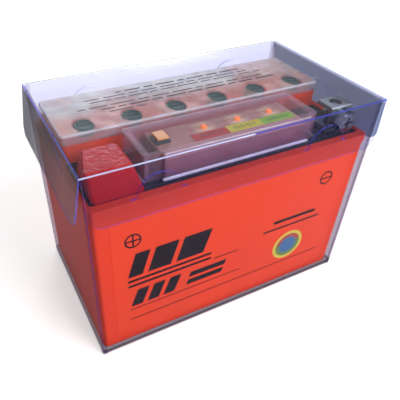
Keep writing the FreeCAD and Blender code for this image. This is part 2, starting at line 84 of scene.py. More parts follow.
add_lamp("front_lamp", (0.42, -0.78, 0.62), (0.02, 0, 0.06), 0.7, 0.6, 11.5, (1.0, 0.98, 0.95))
add_lamp("glare_lamp", (0.27, 0.85, 0.34), (-0.01, 0.02, 0.11), 0.62, 0.22, 4.0, (1.0, 1.0, 1.0), "ELLIPSE")
add_lamp("haze_lamp", (0.02, 0.86, 0.56), (-0.01, 0.0, 0.11), 0.55, 0.24, 0.35, (1.0, 1.0, 1.0), "ELLIPSE")


def add_node(tree, kind, settings=None, **inputs):
    # A shader node with its settings and inputs. An input is given by its name, or by i and its number.
    made = tree.nodes.new("ShaderNode" + kind)
    for key, value in (settings or {}).items():
        setattr(made, key, value)
    for key, value in inputs.items():
        socket = made.inputs[int(key[1:])] if key[0] == "i" and key[1:].isdigit() else made.inputs[key]
        if isinstance(value, bpy.types.NodeSocket):
            tree.links.new(value, socket)
        else:
            socket.default_value = value
    return made


def seen_directly(tree):
    # 1 where the camera, a mirror or a clear piece looks straight at the surface, and 0 for its light.
    rays = add_node(tree, "LightPath").outputs
    seen_or_mirrored = add_node(tree, "Math", {"operation": "MAXIMUM"}, i0=rays["Is Camera Ray"],
                                i1=rays["Is Glossy Ray"])
    return add_node(tree, "Math", {"operation": "MAXIMUM"}, i0=seen_or_mirrored.outputs[0],
                    i1=rays["Is Transmission Ray"]).outputs[0]


world = bpy.data.worlds.new("studio")
scene.world = world
world.use_nodes = True
tree = world.node_tree
background = tree.nodes["Background"]
background.inputs["Color"].default_value = (1, 1, 1, 1)
strength = add_node(tree, "MapRange", i0=seen_directly(tree), i3=0.45, i4=1.0)
tree.links.new(strength.outputs["Result"], background.inputs["Strength"])

floor_mesh = bmesh.new()
bmesh.ops.create_grid(floor_mesh, x_segments=1, y_segments=1, size=3.0)
bmesh.ops.translate(floor_mesh, verts=floor_mesh.verts, vec=(0, 0, -0.0003))
floor_data = bpy.data.meshes.new("studio_floor")
floor_mesh.to_mesh(floor_data)
floor_mesh.free()
floor = bpy.data.objects.new("studio_floor", floor_data)
scene.collection.objects.link(floor)
floor_paint = bpy.data.materials.new("floor_white")
floor_paint.use_nodes = True
tree = floor_paint.node_tree
shader = tree.nodes["Principled BSDF"]
shader.inputs["Base Color"].default_value = (0.8, 0.8, 0.8, 1)
shader.inputs["Roughness"].default_value = 0.9
shader.inputs["Emission Color"].default_value = (1, 1, 1, 1)
glow = add_node(tree, "MapRange", i0=seen_directly(tree), i3=0.0, i4=0.42)
tree.links.new(glow.outputs["Result"], shader.inputs["Emission Strength"])
floor_data.materials.append(floor_paint)


# Jar and lid moulding.
# Both are injection moulded in one bright orange plastic and welded together all round. The faces are
# satin, with a faint flow tone, a fine mould grain and light rub marks.
def srgb(red, green, blue):
    # Linear colour of an 8-bit screen colour.
    values = [channel / 255 for channel in (red, green, blue)]
    return tuple(v / 12.92 if v <= 0.04045 else ((v + 0.055) / 1.055) ** 2.4 for v in values) + (1.0,)


def new_group(name, takes, gives):
    group = bpy.data.node_groups.new(name, "ShaderNodeTree")
    for label, kind, value in takes:
        socket = group.interface.new_socket(name=label, in_out="INPUT", socket_type="NodeSocket" + kind)
        socket.default_value = value
    for label, kind in gives:
        group.interface.new_socket(name=label, in_out="OUTPUT", socket_type="NodeSocket" + kind)
    return group, group.nodes.new("NodeGroupInput").outputs, group.nodes.new("NodeGroupOutput").inputs


# Moulded surface: a slow drift of tone, a fine grain in the height, and rub marks in the roughness.
moulded_surface, given, result = new_group(
    "moulded_surface",
    [("Colour", "Color", (0.5, 0.5, 0.5, 1)), ("Tone drift", "Float", 0.1), ("Grain size", "Float", 1500),
     ("Roughness", "Float", 0.4), ("Rubbing", "Float", 0.1)],
    [("Colour", "Color"), ("Roughness", "Float"), ("Height", "Float")])
place = add_node(moulded_surface, "TexCoord").outputs["Object"]
drift = add_node(moulded_surface, "TexNoise", Vector=place, Scale=38.0, Detail=3.0)
shade = add_node(moulded_surface, "MapRange", i0=drift.outputs["Fac"], i1=0.3, i2=0.7, i3=1.0)
darkest = add_node(moulded_surface, "Math", {"operation": "SUBTRACT"}, i0=1.0, i1=given["Tone drift"])
moulded_surface.links.new(darkest.outputs[0], shade.inputs[4])
toned = add_node(moulded_surface, "Mix", {"data_type": "RGBA", "blend_type": "MULTIPLY"}, i0=1.0,
                 i6=given["Colour"], i7=shade.outputs[0])
grain = add_node(moulded_surface, "TexNoise", Vector=place, Scale=given["Grain size"], Detail=2.0)
stretched = add_node(moulded_surface, "Mapping", Vector=place, Scale=(260.0, 900.0, 140.0))
rubs = add_node(moulded_surface, "TexNoise", Vector=stretched.outputs[0], Scale=1.0, Detail=4.0)
rub_mask = add_node(moulded_surface, "MapRange", i0=rubs.outputs["Fac"], i1=0.55, i2=0.8)
rubbed = add_node(moulded_surface, "Math", {"operation": "MULTIPLY"}, i0=rub_mask.outputs[0],
                  i1=given["Rubbing"])
rough = add_node(moulded_surface, "Math", {"operation": "ADD"}, i0=rubbed.outputs[0], i1=given["Roughness"])
height = add_node(moulded_surface, "Math", {"operation": "ADD"}, i0=grain.outputs["Fac"],
                  i1=rubbed.outputs[0])
moulded_surface.links.new(toned.outputs[2], result["Colour"])
moulded_surface.links.new(rough.outputs[0], result["Roughness"])
moulded_surface.links.new(height.outputs[0], result["Height"])


def surface_material(name, group, given_values, bump, bump_depth, shader_values):
    # A material whose colour, roughness and height come from a surface group, and the rest from the shader.
    material = bpy.data.materials.new(name)
    material.use_nodes = True
    tree = material.node_tree
    shader = tree.nodes["Principled BSDF"]
    surface = tree.nodes.new("ShaderNodeGroup")
    surface.node_tree = group
    for label, value in given_values.items():
        surface.inputs[label].default_value = value
    relief = add_node(tree, "Bump", Strength=bump, Distance=bump_depth, Height=surface.outputs["Height"])
    tree.links.new(surface.outputs["Colour"], shader.inputs["Base Color"])
    tree.links.new(surface.outputs["Roughness"], shader.inputs["Roughness"])
    tree.links.new(relief.outputs["Normal"], shader.inputs["Normal"])
    for label, value in shader_values.items():
        shader.inputs[label].default_value = value
    return material


def moulded_material(name, colour, roughness=0.4, tone_drift=0.1, grain_size=1500.0, rubbing=0.15,
                     bump=0.06, bump_depth=0.0002, shader_values=None):
    given_values = {"Colour": colour, "Tone drift": tone_drift, "Grain size": grain_size,
                    "Roughness": roughness, "Rubbing": rubbing}
    return surface_material(name, moulded_surface, given_values, bump, bump_depth, shader_values or {})


def dress(node, *materials):
    mesh = nodes[node].data
    mesh.materials.clear()
    for material in materials:
        mesh.materials.append(material)


case_orange = moulded_material("case_orange", srgb(244, 66, 26), roughness=0.45, tone_drift=0.12,
                               grain_size=900.0, rubbing=0.2, bump=0.01,
                               shader_values={"Specular IOR Level": 0.2})
dress("battery_case", case_orange)
dress("case_lid", case_orange)


# Front label.
# A thin orange film stuck to the jar's front, with rounded corners. The print on it is plain: slanted
# bars, fine rules, a round badge of coloured rings, and the plus and minus marks by the terminals.
def to_piece(shape, name, materials, body):
    mesh = bpy.data.meshes.new(name)
    shape.to_mesh(mesh)
    shape.free()
    for material in materials:
        mesh.materials.append(material)
    piece = bpy.data.objects.new(name, mesh)
    scene.collection.objects.link(piece)
    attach(piece, body)
    return piece


def face_outline(shape, points):
    # A flat face through points, given counter-clockwise as seen from outside.
    return shape.faces.new([shape.verts.new(point) for point in points])


def raise_faces(shape, faces, vector):
    # Turns flat faces into closed slabs: the faces move along vector, and walls and backs follow.
    made = bmesh.ops.extrude_face_region(shape, geom=list(faces), use_keep_orig=True)
    moved = [item for item in made["geom"] if isinstance(item, bmesh.types.BMVert)]
    bmesh.ops.translate(shape, verts=moved, vec=vector)
    bmesh.ops.reverse_faces(shape, faces=list(faces))
    bmesh.ops.recalc_face_normals(shape, faces=shape.faces)


jar_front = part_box("battery_case")[0].y
label_thickness = 0.12 * millimetre
ink_thickness = 0.05 * millimetre
label_width = 133.0 * millimetre
label_bottom = 6.5 * millimetre
label_top = 84.5 * millimetre
label_corner = 2.5 * millimetre
label_shape = bmesh.new()
bmesh.ops.create_cube(label_shape, size=1.0)
bmesh.ops.scale(label_shape, verts=label_shape.verts,
                vec=(label_width, label_thickness, label_top - label_bottom))
bmesh.ops.translate(label_shape, verts=label_shape.verts,
                    vec=(0, jar_front - label_thickness / 2, (label_bottom + label_top) / 2))
corners = [edge for edge in label_shape.edges
           if abs(edge.verts[0].co.y - edge.verts[1].co.y) > label_thickness / 2]
bmesh.ops.bevel(label_shape, geom=corners, offset=label_corner, segments=6, profile=0.5, affect="EDGES",
                material=-1)
label_film = moulded_material("label_film", srgb(246, 70, 28), roughness=0.4, tone_drift=0.06,
                              grain_size=900.0, rubbing=0.12, bump=0.01,
                              shader_values={"Specular IOR Level": 0.2})
to_piece(label_shape, "front_label", [label_film], "battery")

ink_front = jar_front - label_thickness
black_ink = moulded_material("black_ink", srgb(16, 8, 14), roughness=0.5, tone_drift=0.25,
                             grain_size=900.0, rubbing=0.1, bump=0.01,
                             shader_values={"Specular IOR Level": 0.15})


def slanted_bar(shape, left, bottom, right, top, slant=0.0):
    # One bar of print on the label, from its left and bottom to its right and top, in millimetres.
    points = [(left, bottom), (right, bottom), (right + slant, top), (left + slant, top)]
    return face_outline(shape, [(x * millimetre, ink_front, z * millimetre) for x, z in points])


bars = bmesh.new()
faces = []
for left, bottom, right, top, slant in (
        (-59.5, 48.0, -52.0, 62.5, 4.4), (-49.2, 48.0, -37.0, 62.5, 4.4), (-34.2, 48.0, -19.0, 62.5, 4.4),
        (-58.6, 27.0, -52.4, 38.0, 4.0), (-49.8, 27.0, -43.6, 38.0, 4.0), (-41.0, 27.0, -34.8, 38.0, 4.0),
        (-26.5, 33.2, -5.0, 36.6, 1.1), (-27.8, 28.0, -6.6, 31.4, 1.1)):
    faces.append(slanted_bar(bars, left, bottom, right, top, slant))
for left, right, level, thickness in (
        (-59.6, -14.0, 45.2, 1.5), (-59.6, -14.0, 41.8, 1.5), (-59.4, 6.0, 24.6, 0.55),
        (-59.4, 63.0, 17.2, 0.55), (24.0, 52.0, 50.4, 2.0), (18.0, 56.0, 45.6, 1.2),
        (-12.0, 3.0, 40.4, 0.55)):
    faces.append(slanted_bar(bars, left, level - thickness / 2, right, level + thickness / 2))
raise_faces(bars, faces, (0, -ink_thickness, 0))
to_piece(bars, "label_bars", [black_ink], "battery")


def flat_ring(shape, x, z, outer, inner, start=0.0, turn=360.0, steps=48):
    # A ring or part of one about the Y axis, in millimetres. An inner radius of 0 makes a disc.
    along = Vector((math.cos(math.radians(start)), 0, math.sin(math.radians(start))))
    middle = Vector((x, 0, z))
    inside = shape.verts.new(middle + inner * along)
    outside = shape.verts.new(middle + outer * along)
    first = shape.edges.new((inside, outside))
    bmesh.ops.spin(shape, geom=[inside, outside, first], cent=middle, axis=(0, -1, 0),
                   angle=math.radians(turn), steps=int(steps * turn / 360), use_merge=turn >= 360)


def place_print(shape, thickness):
    # Sets a flat shape in millimetres on the label's front, facing out, and gives it its thickness.
    bmesh.ops.remove_doubles(shape, verts=shape.verts, dist=1e-5)
    for face in shape.faces:
        face.normal_update()
        if face.normal.y > 0:
            face.normal_flip()
    bmesh.ops.scale(shape, verts=shape.verts, vec=(millimetre, 1, millimetre))
    bmesh.ops.translate(shape, verts=shape.verts, vec=(0, ink_front, 0))
    raise_faces(shape, list(shape.faces), (0, -thickness, 0))


mark_outer, mark_inner = 4.1, 3.3
stroke_length = 3.35
stroke_half = 0.4
for name, x, z, is_plus in (("plus_mark", -56.1, 70.8, True), ("minus_mark", 53.8, 71.2, False)):
    mark = bmesh.new()
    flat_ring(mark, x, z, mark_outer, mark_inner)
    place_print(mark, ink_thickness)
    strokes = [slanted_bar(mark, x - stroke_length, z - stroke_half, x + stroke_length, z + stroke_half)]
    if is_plus:
        left, right, off_bar = x - stroke_half, x + stroke_half, stroke_half + 0.001
        strokes.append(slanted_bar(mark, left, z + off_bar, right, z + stroke_length))
        strokes.append(slanted_bar(mark, left, z - stroke_length, right, z - off_bar))
    raise_faces(mark, strokes, (0, -ink_thickness, 0))
    to_piece(mark, name, [black_ink], "battery")

badge_x, badge_z = 37.6, 29.8
badge_rings = (("badge_rim", 10.2, 8.2, 0, 360, srgb(226, 208, 60), 0.06),
               ("badge_red", 8.2, 5.6, 20, 150, srgb(176, 60, 48), 0.055),
               ("badge_green", 8.2, 5.6, 170, 210, srgb(96, 138, 72), 0.055),
               ("badge_middle", 5.6, 0, 0, 360, srgb(34, 110, 168), 0.07))
for name, outer, inner, start, turn, colour, thickness in badge_rings:
    ring = bmesh.new()
    flat_ring(ring, badge_x, badge_z, outer, inner, start, turn)
    place_print(ring, thickness * millimetre)
    ink = moulded_material(name + "_ink", colour, roughness=0.3, tone_drift=0.1, grain_size=3000.0,
                           rubbing=0.1, bump=0.03)
    to_piece(ring, name, [ink], "battery")


# Plates, mats and lead work inside the cells.
# Pasted lead grids with glass fibre mats between them, and cast lead straps, links and posts. They are
# sealed in and show only when the part is taken apart.
def rough_material(name, colour, roughness, drift, grain_size, bump, metallic=0.0):
    return moulded_material(name, colour, roughness=roughness, tone_drift=drift, grain_size=grain_size,
                            rubbing=0.2, bump=bump, bump_depth=0.0004, shader_values={"Metallic": metallic})


cast_lead = rough_material("cast_lead", srgb(128, 130, 134), 0.5, 0.3, 700.0, 0.3, 0.9)
dress("positive_post", cast_lead)
dress("negative_post", cast_lead)
dress("cell_connectors", cast_lead)
dress("positive_plates", rough_material("positive_paste", srgb(84, 58, 44), 0.85, 0.35, 900.0, 0.5))
dress("negative_plates", rough_material("negative_paste", srgb(120, 122, 124), 0.75, 0.3, 900.0, 0.5))
dress("separators", rough_material("glass_mat", srgb(238, 238, 234), 0.95, 0.08, 2600.0, 0.6))


# Sealant in the terminal trough.
# Black epoxy poured round the posts, level and glossy, with slow ripples from the pour.
dress("terminal_sealant", moulded_material("black_resin", srgb(20, 20, 34), roughness=0.25, tone_drift=0.3,
                                           grain_size=60.0, rubbing=0.1, bump=0.1, bump_depth=0.0006,
                                           shader_values={"Specular IOR Level": 0.25}))


# Vent plugs, seals and valve caps.
# Six turned-in plugs of dark green plastic with a dished, slotted head. A soft black ring seals each head
# and a rubber cap on the nozzle below it lets gas out.
plug_green = moulded_material("plug_green", srgb(12, 78, 62), roughness=0.4, tone_drift=0.3,
                              grain_size=900.0, rubbing=0.25, bump=0.08,
                              shader_values={"Specular IOR Level": 0.12})
for number in range(1, 7):
    dress("vent_plug_%d" % number, plug_green)
soft_black = moulded_material("soft_black", srgb(34, 34, 36), roughness=0.7, tone_drift=0.25,
                              grain_size=1400.0, rubbing=0.15, bump=0.2)
dress("plug_seals", soft_black)
dress("valve_caps", soft_black)


# Red cap on the positive terminal.
# Soft vinyl, dipped, a little creased on its top where the box presses it, and glossy.
cap_vinyl = moulded_material("red_vinyl", srgb(205, 22, 22), roughness=0.34, tone_drift=0.25,
                             grain_size=420.0, rubbing=0.2, bump=0.35, bump_depth=0.001,
                             shader_values={"Specular IOR Level": 0.12, "Coat Roughness": 0.10})
tree = cap_vinyl.node_tree
height = tree.nodes["Bump"].inputs["Height"]
place = add_node(tree, "TexCoord").outputs["Object"]
warp = add_node(tree, "TexNoise", Vector=place, Scale=150.0, Detail=3.0, Distortion=1.6)
creases = add_node(tree, "Math", {"operation": "ADD"}, i0=warp.outputs["Fac"], i1=height.links[0].from_socket)
tree.links.new(creases.outputs[0], height)
cap_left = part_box("positive_cap")[0].x
cap_parts = add_node(tree, "SeparateXYZ", Vector=place)
glossy_side = add_node(tree, "MapRange", i0=cap_parts.outputs[0], i1=cap_left + 13.0 * millimetre,
                       i2=cap_left + 21.0 * millimetre)
glossy_patches = add_node(tree, "MapRange", i0=warp.outputs["Fac"], i1=0.47, i2=0.58, i4=0.55)
gloss_share = add_node(tree, "Math", {"operation": "MULTIPLY"}, i0=glossy_side.outputs[0],
                       i1=glossy_patches.outputs[0])
tree.links.new(gloss_share.outputs[0], tree.nodes["Principled BSDF"].inputs["Coat Weight"])
dress("positive_cap", cap_vinyl)


# Terminals, nuts, bolt and washers.
# The terminals are folded from tinned strip with a brushed grain. Bolt, nuts and washers are zinc plated
# steel, brighter, with a faint blue cast and small stains.
brushed_metal, given, result = new_group(
    "brushed_metal",
    [("Colour", "Color", (0.6, 0.6, 0.6, 1)), ("Streak scale", "Vector", (90.0, 90.0, 2600.0)),
     ("Roughness", "Float", 0.3), ("Stains", "Float", 0.3)],
    [("Colour", "Color"), ("Roughness", "Float"), ("Height", "Float")])
place = add_node(brushed_metal, "TexCoord").outputs["Object"]
along = add_node(brushed_metal, "VectorMath", {"operation": "MULTIPLY"}, i0=place, i1=given["Streak scale"])
streaks = add_node(brushed_metal, "TexNoise", Vector=along.outputs[0], Scale=1.0, Detail=4.0)
blotches = add_node(brushed_metal, "TexNoise", Vector=place, Scale=320.0, Detail=4.0)
stain_mask = add_node(brushed_metal, "MapRange", i0=blotches.outputs["Fac"], i1=0.5, i2=0.75)
stain = add_node(brushed_metal, "Math", {"operation": "MULTIPLY"}, i0=stain_mask.outputs[0],
                 i1=given["Stains"])
stained = add_node(brushed_metal, "Mix", {"data_type": "RGBA"}, i0=stain.outputs[0], i6=given["Colour"],
                   i7=(0.16, 0.13, 0.11, 1))
streak_range = add_node(brushed_metal, "MapRange", i0=streaks.outputs["Fac"], i3=-0.1, i4=0.14)
rough = add_node(brushed_metal, "Math", {"operation": "ADD"}, i0=streak_range.outputs[0],
                 i1=given["Roughness"])
rougher = add_node(brushed_metal, "Math", {"operation": "MULTIPLY_ADD"}, i0=stain.outputs[0], i1=0.4,
                   i2=rough.outputs[0])
brushed_metal.links.new(stained.outputs[2], result["Colour"])
brushed_metal.links.new(rougher.outputs[0], result["Roughness"])
brushed_metal.links.new(streaks.outputs["Fac"], result["Height"])


def metal_material(name, colour, roughness, streak_scale, stains, bump):
    given_values = {"Colour": colour, "Roughness": roughness, "Stains": stains, "Streak scale": streak_scale}
    return surface_material(name, brushed_metal, given_values, bump, 0.0001, {"Metallic": 1.0})


tinned = metal_material("tinned_strip", srgb(148, 156, 156), 0.32, (2600.0, 120.0, 120.0), 0.3, 0.15)
zinc = metal_material("zinc_plate", srgb(116, 122, 132), 0.16, (500.0, 500.0, 500.0), 0.45, 0.4)
dress("positive_terminal", tinned)
dress("negative_terminal", tinned)
for node in ("terminal_nuts", "flat_washer", "lock_washer", "negative_bolt"):
    dress(node, zinc)


# Voltage indicator.
# A translucent tray carries a cream printed board with three orange lamps, a row of red, yellow and green
# strips with plain voltage figures, and a sprung orange test button. The circuit chip is under the board.
board_cream = moulded_material("board_cream", srgb(200, 140, 128), roughness=0.5, tone_drift=0.2,
                               grain_size=700.0, rubbing=0.15, bump=0.04,
                               shader_values={"Specular IOR Level": 0.12})
scale_low, scale_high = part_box("voltage_scale")
strip_colours = (("strip_red", srgb(206, 34, 18)), ("strip_yellow", srgb(226, 210, 26)),
                 ("strip_green", srgb(146, 196, 30)))
strip_length = (scale_high.x - scale_low.x) / len(strip_colours)

# A painted glow lightens the board's colour in a patch round each lamp. Each lamp stands over the middle of
# its strip.
lamps_low, lamps_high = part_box("indicator_lamps")
tree = board_cream.node_tree
paint = tree.nodes["Principled BSDF"].inputs["Base Color"]
split = add_node(tree, "SeparateXYZ", Vector=add_node(tree, "TexCoord").outputs["Object"])
from_first = add_node(tree, "Math", {"operation": "SUBTRACT"}, i0=split.outputs[0],
                      i1=scale_low.x + strip_length / 2)
from_lamp = add_node(tree, "Math", {"operation": "WRAP"}, i0=from_first.outputs[0], i1=strip_length / 2,
                     i2=-strip_length / 2)
from_row = add_node(tree, "Math", {"operation": "SUBTRACT"}, i0=split.outputs[1],
                    i1=(lamps_low.y + lamps_high.y) / 2)
to_lamp = add_node(tree, "CombineXYZ", X=from_lamp.outputs[0], Y=from_row.outputs[0])
away = add_node(tree, "VectorMath", {"operation": "LENGTH"}, i0=to_lamp.outputs[0])
painted_glow = add_node(tree, "MapRange", i0=away.outputs["Value"], i1=7.0 * millimetre, i2=2.0 * millimetre, i4=0.8)
on_board = add_node(tree, "Math", {"operation": "GREATER_THAN"}, i0=split.outputs[0],
                    i1=scale_low.x - 2.0 * millimetre)
painted_glow_on_board = add_node(tree, "Math", {"operation": "MULTIPLY"}, i0=painted_glow.outputs[0], i1=on_board.outputs[0])
# The painted glow mixes a light warm cream into the board's colour.
board_with_painted_glow = add_node(tree, "Mix", {"data_type": "RGBA"}, i0=painted_glow_on_board.outputs[0],
                     i6=paint.links[0].from_socket, i7=srgb(255, 220, 176))
tree.links.new(board_with_painted_glow.outputs[2], paint)
dress("indicator_board", board_cream)
dress("indicator_chip", soft_black)
dress("test_switch", soft_black)
dress("test_button", moulded_material("button_amber", srgb(246, 168, 92), roughness=0.35, tone_drift=0.1,
                                      grain_size=900.0, rubbing=0.1, bump=0.03))
# The lenses are given a painted orange glow by a weak emission.
lamp_lens_painted_glow = moulded_material("lamp_lens_painted_glow", srgb(255, 140, 50), roughness=0.15, rubbing=0.05,
                             shader_values={"Emission Color": srgb(255, 110, 30), "Emission Strength": 0.6})
dress("indicator_lamps", lamp_lens_painted_glow)
dress("voltage_scale", *[moulded_material(name, colour, roughness=0.45, tone_drift=0.1, grain_size=900.0,
                                          rubbing=0.1, bump=0.02, shader_values={"Specular IOR Level": 0.1})
                         for name, colour in strip_colours])
for face in nodes["voltage_scale"].data.polygons:
    face.material_index = min(2, max(0, int((face.center.x - scale_low.x) / strip_length)))

figure_ink = moulded_material("figure_ink", srgb(28, 14, 12), roughness=0.5, tone_drift=0.2,
                              grain_size=2400.0, rubbing=0.1, bump=0.03)
for number, figures in enumerate(("10.5-12.4", "12.5-12.7", "12.8-13.2")):
    text = bpy.data.curves.new("figures", "FONT")
    text.body = figures
    text.size = 3.4 * millimetre
    text.extrude = 0.03 * millimetre
    text.align_x = "CENTER"
    text.align_y = "CENTER"
    holder = bpy.data.objects.new("figures", text)
    mesh = bpy.data.meshes.new_from_object(holder)
    bpy.data.objects.remove(holder)
    mesh.transform(Matrix.Translation((scale_low.x + strip_length * (number + 0.5),
                                       (scale_low.y + scale_high.y) / 2,
                                       scale_high.z + 0.03 * millimetre)))
    mesh.materials.clear()
    mesh.materials.append(figure_ink)
    piece = bpy.data.objects.new("scale_figures_%d" % (number + 1), mesh)
    scene.collection.objects.link(piece)
    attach(piece, "battery")


def level_bar(shape, left, right, y, thickness, height):
    # One bar of print on a level face at a height, its other sizes in millimetres.
    corners = ((left, y), (right, y), (right, y + thickness), (left, y + thickness))
    return face_outline(shape, [(a * millimetre, b * millimetre, height) for a, b in corners])


board_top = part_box("indicator_board")[1].z
board_print = bmesh.new()
faces = []
for left, right, front, thickness in (
        (-16.0, -3.0, 5.2, 0.5), (-14.5, -4.0, 3.6, 0.5), (3.0, 17.5, 5.2, 0.5), (4.5, 16.0, 3.6, 0.5),
        (22.0, 36.0, 5.2, 0.5), (24.0, 34.0, 3.6, 0.5), (-14.0, 30.0, 9.6, 0.7)):
    y = scale_high.y / millimetre + front
    faces.append(level_bar(board_print, left, right, y, thickness, board_top))
raise_faces(board_print, faces, (0, 0, 0.06 * millimetre))
to_piece(board_print, "board_print", [moulded_material("board_ink", srgb(168, 66, 56), roughness=0.5,
                                                        tone_drift=0.2, grain_size=2400.0)], "battery")


# Clear cover over the vent plugs.
# A stiff clear moulding that drops over the ridge of the case lid. Painted sheen clouds the underside of
# its top in patches, painted highlights run along its moulded edges, and rows of plain fine dashes are
# printed on its top.
def beyond(tree, place, axis, limit, middle=0.0):
    # 1 where the distance from a middle along an axis is over a limit.
    split = add_node(tree, "SeparateXYZ", Vector=place)
    offset = add_node(tree, "Math", {"operation": "SUBTRACT"}, i0=split.outputs[axis], i1=middle)
    away = add_node(tree, "Math", {"operation": "ABSOLUTE"}, i0=offset.outputs[0])
    return add_node(tree, "Math", {"operation": "GREATER_THAN"}, i0=away.outputs[0], i1=limit).outputs[0]


def below(tree, place, axis, limit):
    # 1 where the place along an axis is under a limit.
    split = add_node(tree, "SeparateXYZ", Vector=place)
    return add_node(tree, "Math", {"operation": "LESS_THAN"}, i0=split.outputs[axis], i1=limit).outputs[0]


def fade(tree, place, axis, start, end):
    # Rises from 0 at one place along an axis to 1 at another.
    split = add_node(tree, "SeparateXYZ", Vector=place)
    return add_node(tree, "MapRange", i0=split.outputs[axis], i1=start, i2=end).outputs[0]


def product(tree, *masks):
    made = masks[0]
    for mask in masks[1:]:
        made = add_node(tree, "Math", {"operation": "MULTIPLY"}, i0=made, i1=mask).outputs[0]
    return made


def larger(tree, *masks):
    made = masks[0]
    for mask in masks[1:]:
        made = add_node(tree, "Math", {"operation": "MAXIMUM"}, i0=made, i1=mask).outputs[0]
    return made


def opposite(tree, mask):
    return add_node(tree, "Math", {"operation": "SUBTRACT"}, i0=1.0, i1=mask).outputs[0]


def clear_material(name, through, edge_on, shine, ripple, ripple_scale, haze=0.0, haze_colour=(1, 1, 1, 1),
                   roughness=0.05, tinted_zones=(), milky_zones=(), level_shine=None, level_height=0.0,
                   matt_zone=None):
    # A clear shell: it tints and clouds what is behind it and mirrors on its outer side only. Zones are
    # masks from place, each with its own tint, or with a share and colour of cloudiness.
    material = bpy.data.materials.new(name)
    material.use_nodes = True
    tree = material.node_tree
    tree.nodes.remove(tree.nodes["Principled BSDF"])
    out = tree.nodes["Material Output"]
    place = add_node(tree, "TexCoord").outputs["Object"]
    waves = add_node(tree, "TexNoise", Vector=place, Scale=ripple_scale, Detail=3.0)
    relief = add_node(tree, "Bump", Strength=ripple, Distance=0.001, Height=waves.outputs["Fac"])
    facing = add_node(tree, "LayerWeight", Blend=0.35)
    tint = add_node(tree, "Mix", {"data_type": "RGBA"}, i0=facing.outputs["Facing"], i6=through, i7=edge_on)
    for zone, colour in tinted_zones:
        tint = add_node(tree, "Mix", {"data_type": "RGBA", "blend_type": "MULTIPLY"}, i0=zone(tree, place),
                        i6=tint.outputs[2], i7=colour)
    surface = add_node(tree, "BsdfTransparent", Color=tint.outputs[2])
    dust = add_node(tree, "TexNoise", Vector=place, Scale=ripple_scale * 1.5, Detail=2.0)
    cloudy = add_node(tree, "MapRange", i0=dust.outputs["Fac"], i1=0.3, i2=0.7, i3=0.75, i4=1.25)
    for zone, share, colour in ((None, haze, haze_colour),) + tuple(milky_zones):
        body = add_node(tree, "BsdfPrincipled", Roughness=0.5)
        body.inputs["Base Color"].default_value = colour
        amount = product(tree, cloudy.outputs[0], share)
        if zone:
            amount = product(tree, amount, zone(tree, place))
        surface = add_node(tree, "MixShader", i0=amount, i1=surface.outputs[0], i2=body.outputs[0])
    gloss = add_node(tree, "BsdfPrincipled", Roughness=roughness, Normal=relief.outputs["Normal"])
    gloss.inputs["Base Color"].default_value = (1, 1, 1, 1)
    gloss.inputs["Metallic"].default_value = 1.0
    bounce = add_node(tree, "Fresnel", IOR=1.5, Normal=relief.outputs["Normal"])
    outer_side = opposite(tree, add_node(tree, "NewGeometry").outputs["Backfacing"])
    strength = shine
    if level_shine is not None:
        high = beyond(tree, place, 2, level_height)
        strength = add_node(tree, "MapRange", i0=high, i3=shine, i4=level_shine).outputs[0]
    if matt_zone:
        strength = product(tree, opposite(tree, matt_zone(tree, place)), strength)
    mirrored = product(tree, outer_side, strength, bounce.outputs[0])
    surface = add_node(tree, "MixShader", i0=mirrored, i1=surface.outputs[0], i2=gloss.outputs[0])
    tree.links.new(surface.outputs[0], out.inputs["Surface"])
    return material


def near_edges(node, width):
    # A zone along all the edges of a node's box.
    low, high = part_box(node)
    middle, half = (low + high) / 2, (high - low) / 2

    def zone(tree, place):
        near = [beyond(tree, place, axis, half[axis] - width, middle[axis]) for axis in range(3)]
        return larger(tree, product(tree, near[0], near[1]), product(tree, near[1], near[2]),
                      product(tree, near[0], near[2]))

    return zone


def upright_walls(node, width):
    # A zone over a shell's four walls.
    low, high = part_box(node)
    middle, half = (low + high) / 2, (high - low) / 2
    return lambda tree, place: larger(tree, *[beyond(tree, place, axis, half[axis] - width, middle[axis])
                                              for axis in (0, 1)])


plug_low, plug_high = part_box("vent_plug_1")
last_plug_low, last_plug_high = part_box("vent_plug_6")
plug_first = (plug_low + plug_high) / 2
plug_pitch = ((last_plug_low.x + last_plug_high.x) / 2 - plug_first.x) / 5
vent_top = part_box("vent_cover")[1].z
vent_sheet = 1.3 * millimetre
plug_shift = Vector((1.0, 2.2)) * millimetre
plug_squeeze = 0.71
clear_radius, sheen_radius = 4.6 * millimetre, 5.4 * millimetre
back_start, back_end = 3.0 * millimetre, 12.0 * millimetre


def painted_sheen_patches(scale, least, back_only=False):
    # Painted sheen in patches under the cover's top, which stays off what shows of each plug from the front.
    def zone(tree, place):
        split = add_node(tree, "SeparateXYZ", Vector=place)
        along = add_node(tree, "Math", {"operation": "SUBTRACT"}, i0=split.outputs[0],
                         i1=plug_first.x - plug_shift.x)
        wrapped = add_node(tree, "Math", {"operation": "WRAP"}, i0=along.outputs[0], i1=plug_pitch / 2,
                           i2=-plug_pitch / 2)
        across = add_node(tree, "Math", {"operation": "SUBTRACT"}, i0=split.outputs[1],
                          i1=plug_first.y - plug_shift.y)
        squeezed = add_node(tree, "Math", {"operation": "MULTIPLY"}, i0=across.outputs[0], i1=plug_squeeze)
        flat = add_node(tree, "CombineXYZ", X=wrapped.outputs[0], Y=squeezed.outputs[0])
        away = add_node(tree, "VectorMath", {"operation": "LENGTH"}, i0=flat.outputs[0]).outputs["Value"]
        off_plug = add_node(tree, "MapRange", i0=away, i1=clear_radius, i2=sheen_radius).outputs[0]
        patches = add_node(tree, "TexNoise", Vector=place, Scale=scale, Detail=3.0)
        patchy = add_node(tree, "MapRange", i0=patches.outputs["Fac"], i1=0.42, i2=0.58, i3=least, i4=1.0)
        painted_sheen = product(tree, off_plug, patchy.outputs[0], beyond(tree, place, 2, vent_top - vent_sheet))
        if back_only:
            painted_sheen = product(tree, painted_sheen, fade(tree, place, 1, plug_first.y + back_start,
                                              plug_first.y + back_end))
        return painted_sheen

    return zone


